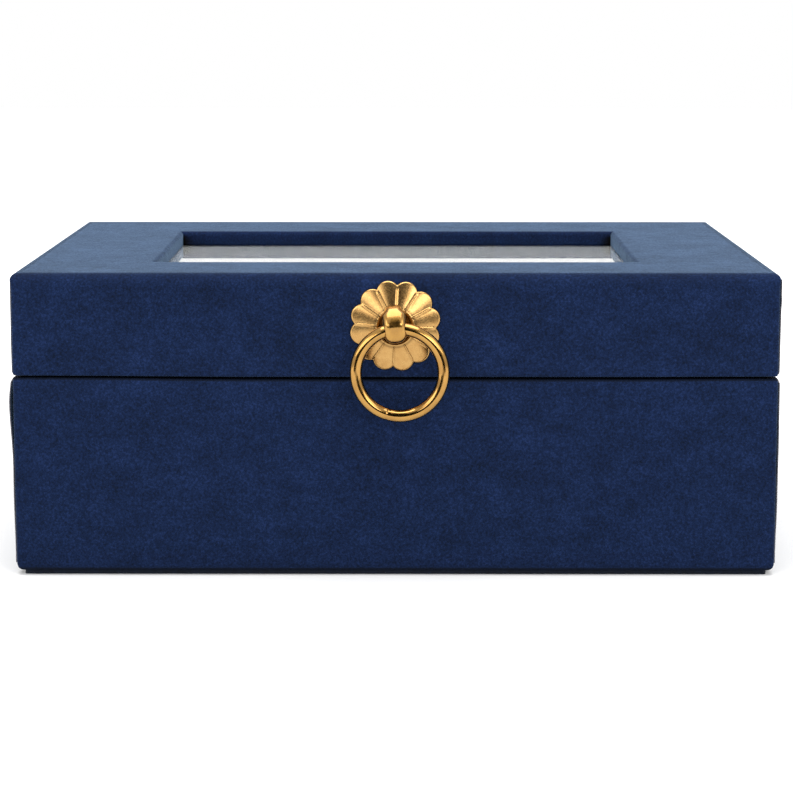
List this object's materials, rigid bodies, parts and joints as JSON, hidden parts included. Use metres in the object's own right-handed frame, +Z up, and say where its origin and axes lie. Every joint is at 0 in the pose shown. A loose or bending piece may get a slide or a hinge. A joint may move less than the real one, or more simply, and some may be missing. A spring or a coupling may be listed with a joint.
{
  "type": "jewellery gift box",
  "caption": "Hinged rectangular keepsake box in suede paper, with a glazed picture window in the lid, a brass ring pull on the front and a divided, padded interior.",
  "frame": {"origin": "centre of the felt underside that the box stands on", "axes": "+Z up, -Y out of the front with the ring pull, +X to the right seen from the front"},
  "size_m": [0.23, 0.1934, 0.0919],
  "materials": {
    "suede_paper": "fine napped suede paper, navy, low sheen",
    "fibreboard": "sanded medium-density fibreboard",
    "felt": "black needled felt",
    "lining": "short-pile velvet lining, oatmeal",
    "brass": "polished cast brass",
    "satin_brass": "satin pressed brass",
    "steel": "zinc-plated steel",
    "magnet": "nickel-plated magnet",
    "glass": "clear float glass",
    "mount_card": "plain white card",
    "panel_board": "greyboard wrapped in the lining"
  },
  "bodies": {
    "base": {"base_back_board": "fibreboard", "base_cover": "suede_paper", "base_floor_board": "fibreboard", "base_front_board": "fibreboard", "base_left_board": "fibreboard", "base_lining_back": "lining", "base_lining_floor": "lining", "base_lining_front": "lining", "base_lining_left": "lining", "base_lining_right": "lining", "base_magnets": "magnet", "base_right_board": "fibreboard", "base_side_papers": "suede_paper", "divider_back_left": "lining", "divider_back_right": "lining", "divider_front": "lining", "divider_long": "lining", "felt_sheet": "felt", "hinge_base_leaf_left": "brass", "hinge_base_leaf_right": "brass", "hinge_pin_left": "brass", "hinge_pin_right": "brass", "hinge_screws_base": "brass", "ring_roll_1": "lining", "ring_roll_2": "lining", "ring_roll_3": "lining", "ring_roll_4": "lining", "ring_roll_5": "lining", "ring_roll_6": "lining", "ring_roll_7": "lining"},
    "lid": {"backing_panel": "panel_board", "hinge_lid_leaf_left": "brass", "hinge_lid_leaf_right": "brass", "hinge_screws_lid": "brass", "lid_back_board": "fibreboard", "lid_cover": "suede_paper", "lid_frame_board": "fibreboard", "lid_front_board": "fibreboard", "lid_left_board": "fibreboard", "lid_lining_back": "lining", "lid_lining_front": "lining", "lid_lining_left": "lining", "lid_lining_right": "lining", "lid_lining_top": "lining", "lid_magnets": "magnet", "lid_right_board": "fibreboard", "lid_side_papers": "suede_paper", "mount_card": "mount_card", "pull_eye": "brass", "pull_nut": "steel", "pull_washer": "steel", "rosette": "satin_brass", "turn_button_screws": "brass", "window_glass": "glass"},
    "ring": {"pull_ring": "brass"},
    "turn_button_back": {"turn_button_back": "brass"},
    "turn_button_front": {"turn_button_front": "brass"},
    "turn_button_left": {"turn_button_left": "brass"},
    "turn_button_right": {"turn_button_right": "brass"}
  },
  "joints": [
    {"name": "lid_hinge", "type": "hinge", "parent": "base", "child": "lid", "pos_m": [0, 0.09, 0.0607], "axis": [-1, 0, 0], "range_deg": [0, 95]},
    {"name": "ring_swing", "type": "hinge", "parent": "lid", "child": "ring", "pos_m": [0, -0.096, 0.0764], "axis": [-0.9945, 0, -0.1045], "range_deg": [-11, 165]},
    {"name": "turn_button_front_swivel", "type": "hinge", "parent": "lid", "child": "turn_button_front", "pos_m": [0, -0.0661, 0.0812], "axis": [0, 0, 1], "range_deg": [-90, 90]},
    {"name": "turn_button_back_swivel", "type": "hinge", "parent": "lid", "child": "turn_button_back", "pos_m": [0, 0.0583, 0.0812], "axis": [0, 0, 1], "range_deg": [-90, 90]},
    {"name": "turn_button_left_swivel", "type": "hinge", "parent": "lid", "child": "turn_button_left", "pos_m": [-0.0877, -0.0039, 0.0812], "axis": [0, 0, 1], "range_deg": [-90, 90]},
    {"name": "turn_button_right_swivel", "type": "hinge", "parent": "lid", "child": "turn_button_right", "pos_m": [0.0877, -0.0039, 0.0812], "axis": [0, 0, 1], "range_deg": [-90, 90]}
  ]
}
